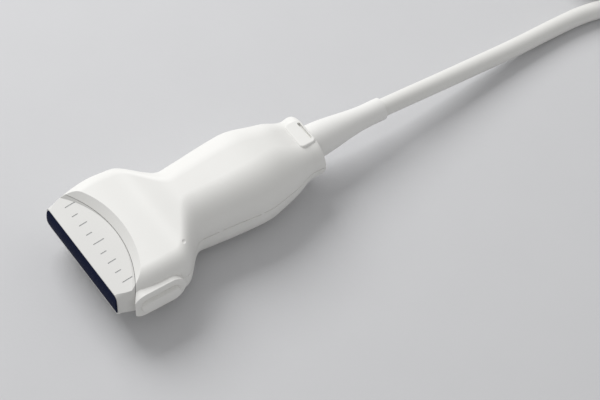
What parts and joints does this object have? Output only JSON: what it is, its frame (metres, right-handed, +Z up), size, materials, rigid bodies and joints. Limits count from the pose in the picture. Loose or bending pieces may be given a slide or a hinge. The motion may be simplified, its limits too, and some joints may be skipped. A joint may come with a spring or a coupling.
{
  "type": "ultrasound transducer probe",
  "caption": "Hand-held linear-array ultrasound probe: flat dark lens in a wide head, waisted handle, tapered boot, cable and multi-contact connector.",
  "frame": {"origin": "on the moulded flat under the handle that the probe rests on, under the probe's long axis", "axes": "+X along the probe from the lens towards the cable, +Z up, the marker boss on the -Y side"},
  "size_m": [0.2852, 0.0872, 0.04],
  "materials": {
    "housing_plastic": "satin moulded white",
    "lens_silicone": "smooth dark navy silicone",
    "boot_elastomer": "satin white elastomer",
    "cable_jacket": "satin white jacket",
    "seal_rubber": "grey seal",
    "matching_resin": "filled resin",
    "piezo_ceramic": "dense ceramic",
    "backing_compound": "loaded damping compound",
    "spreader_aluminium": "milled",
    "flex_film": "amber circuit film",
    "board_laminate": "green circuit board",
    "connector_black": "black moulding",
    "screen_copper": "copper sheet",
    "coax_wire": "fine wire bundle",
    "crimp_brass": "turned brass",
    "clamp_steel": "plain steel",
    "frame_metal": "drawn nickelled sheet",
    "contact_gold": "gold-coloured contact",
    "shell_grey": "satin pale grey moulding",
    "tie_strap": "woven strap"
  },
  "bodies": {
    "root": {"acoustic_lens": "lens_silicone", "nose_piece": "housing_plastic", "upper_housing": "housing_plastic", "lower_housing": "housing_plastic", "nose_seal": "seal_rubber", "matching_layer_outer": "matching_resin", "matching_layer_inner": "matching_resin", "piezo_array": "piezo_ceramic", "backing_block": "backing_compound", "heat_spreader": "spreader_aluminium", "flex_circuit_upper": "flex_film", "flex_circuit_lower": "flex_film", "flex_connector_upper": "connector_black", "flex_connector_lower": "connector_black", "interconnect_board_upper": "board_laminate", "interconnect_board_lower": "board_laminate", "shield_cover_upper": "screen_copper", "shield_cover_lower": "screen_copper", "coax_bundle_upper": "coax_wire", "coax_bundle_lower": "coax_wire", "cable_crimp_ring": "crimp_brass", "cable_clamp": "clamp_steel", "clamp_screws": "clamp_steel", "strain_relief": "boot_elastomer", "cable": "cable_jacket", "cable_coil": "cable_jacket", "cable_tail": "cable_jacket", "cable_tie": "tie_strap", "connector_shell_upper": "shell_grey", "connector_shell_lower": "shell_grey", "connector_strain_relief": "boot_elastomer", "connector_frame": "frame_metal", "contact_block": "connector_black", "contact_pads": "contact_gold", "connector_board": "board_laminate", "connector_clamp": "clamp_steel", "connector_screws": "clamp_steel"}
  },
  "joints": []
}
